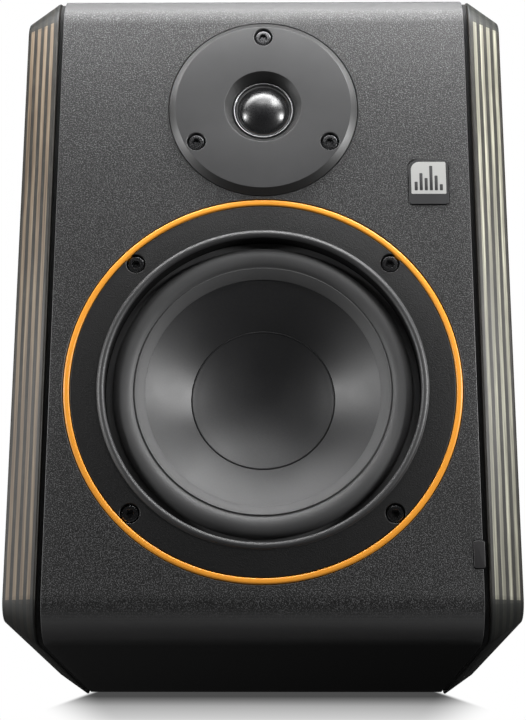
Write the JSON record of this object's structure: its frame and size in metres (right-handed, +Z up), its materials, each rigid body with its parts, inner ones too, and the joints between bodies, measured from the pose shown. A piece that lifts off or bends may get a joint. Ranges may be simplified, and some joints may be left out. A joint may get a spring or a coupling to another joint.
{
  "type": "bookshelf speaker",
  "caption": "Powered bookshelf speaker with a black rounded cabinet between bevelled plywood side panels, dome tweeter and orange-ringed woofer.",
  "frame": {"origin": "centre of the footprint, on the surface that the speaker stands on", "axes": "+Z up, the baffle faces -Y, +X is the right side seen from the front"},
  "size_m": [0.206, 0.2102, 0.283],
  "materials": {
    "textured_black": "fine-grained black coating on the bent cabinet wrap",
    "stained_plywood": "birch plywood under dark grey-brown lacquer, veneer edges showing in the bevel",
    "raw_board": "bare particle board, painted black where the seam shows it",
    "black_board": "black painted board",
    "driver_black": "matte black moulding",
    "gloss_black": "gloss black moulding",
    "orange_ring": "orange moulding",
    "rubber": "black butyl rubber",
    "cone": "matte dark grey coated cone",
    "dome": "coated dark dome",
    "copper": "enamelled copper winding",
    "steel": "zinc plated steel",
    "black_screw": "black oxide steel",
    "ferrite": "sintered ferrite",
    "foam": "open-cell foam",
    "spider_cloth": "resin-dipped cotton",
    "badge_plate": null,
    "smoked_window": "smoked lens",
    "lamp": "unlit clear lamp",
    "black_aluminium": "black anodised aluminium",
    "circuit_board": "green solder mask",
    "white_plastic": "white moulding",
    "capacitor_sleeve": "black shrink sleeve"
  },
  "bodies": {
    "cabinet": {"cabinet_wrap": "textured_black", "left_side_board": "raw_board", "right_side_board": "raw_board", "back_board": "black_board", "left_side_panel": "stained_plywood", "right_side_panel": "stained_plywood", "acoustic_lining": "foam", "badge": "badge_plate", "status_window": "smoked_window", "status_led": "lamp", "woofer_trim_ring": "orange_ring", "woofer_frame": "driver_black", "woofer_basket": "driver_black", "woofer_top_plate": "steel", "woofer_magnet": "ferrite", "woofer_yoke": "steel", "woofer_terminals": "circuit_board", "woofer_screw_1": "black_screw", "woofer_screw_2": "black_screw", "woofer_screw_3": "black_screw", "woofer_screw_4": "black_screw", "tweeter_faceplate": "driver_black", "tweeter_clamp_ring": "steel", "tweeter_top_plate": "steel", "tweeter_magnet": "ferrite", "tweeter_yoke": "steel", "tweeter_screw_1": "black_screw", "tweeter_screw_2": "black_screw", "tweeter_screw_3": "black_screw", "port_tube": "driver_black", "amp_plate": "black_aluminium", "amp_plate_screw_1": "black_screw", "amp_plate_screw_2": "black_screw", "amp_plate_screw_3": "black_screw", "amp_plate_screw_4": "black_screw", "heat_sink": "black_aluminium", "amp_board": "circuit_board", "filter_capacitor": "capacitor_sleeve", "transformer": "spider_cloth", "combo_input_jack": "driver_black", "phono_jack": "steel", "volume_pot": "steel", "tone_switch": "steel", "mains_inlet": "driver_black", "power_switch_bezel": "driver_black", "woofer_lead": "rubber", "tweeter_lead": "rubber"},
    "woofer_diaphragm": {"woofer_cone": "cone", "woofer_dust_cap": "cone", "woofer_voice_coil": "copper", "woofer_surround": "rubber", "woofer_spider": "spider_cloth"},
    "tweeter_diaphragm": {"tweeter_dome": "dome", "tweeter_coil": "copper", "tweeter_surround": "rubber"},
    "volume_control": {"volume_knob": "driver_black"},
    "power_control": {"power_rocker": "gloss_black"},
    "tone_control": {"tone_slider": "white_plastic"},
    "fuse_holder": {"fuse_drawer": "driver_black", "fuse": "steel"}
  },
  "joints": [
    {"name": "woofer_stroke", "type": "slide", "parent": "cabinet", "child": "woofer_diaphragm", "axis": [0, 1, 0], "range_m": [-0.004, 0.004], "stiffness_N_per_m": 1000, "deforming": ["woofer_surround", "woofer_spider"]},
    {"name": "tweeter_stroke", "type": "slide", "parent": "cabinet", "child": "tweeter_diaphragm", "axis": [0, 1, 0], "range_m": [-0.0004, 0.0004], "stiffness_N_per_m": 2000, "deforming": ["tweeter_surround"]},
    {"name": "volume_turn", "type": "hinge", "parent": "cabinet", "child": "volume_control", "pos_m": [-0.036, 0.09715, 0.09], "axis": [0, -1, 0], "range_deg": [-150, 150]},
    {"name": "power_rock", "type": "hinge", "parent": "cabinet", "child": "power_control", "pos_m": [0.008, 0.08765, 0.046], "axis": [-1, 0, 0], "range_deg": [0, 20]},
    {"name": "tone_slide", "type": "slide", "parent": "cabinet", "child": "tone_control", "axis": [1, 0, 0], "range_m": [0, 0.004]},
    {"name": "fuse_drawer_slide", "type": "slide", "parent": "cabinet", "child": "fuse_holder", "axis": [0, 1, 0], "range_m": [0, 0.013]}
  ]
}
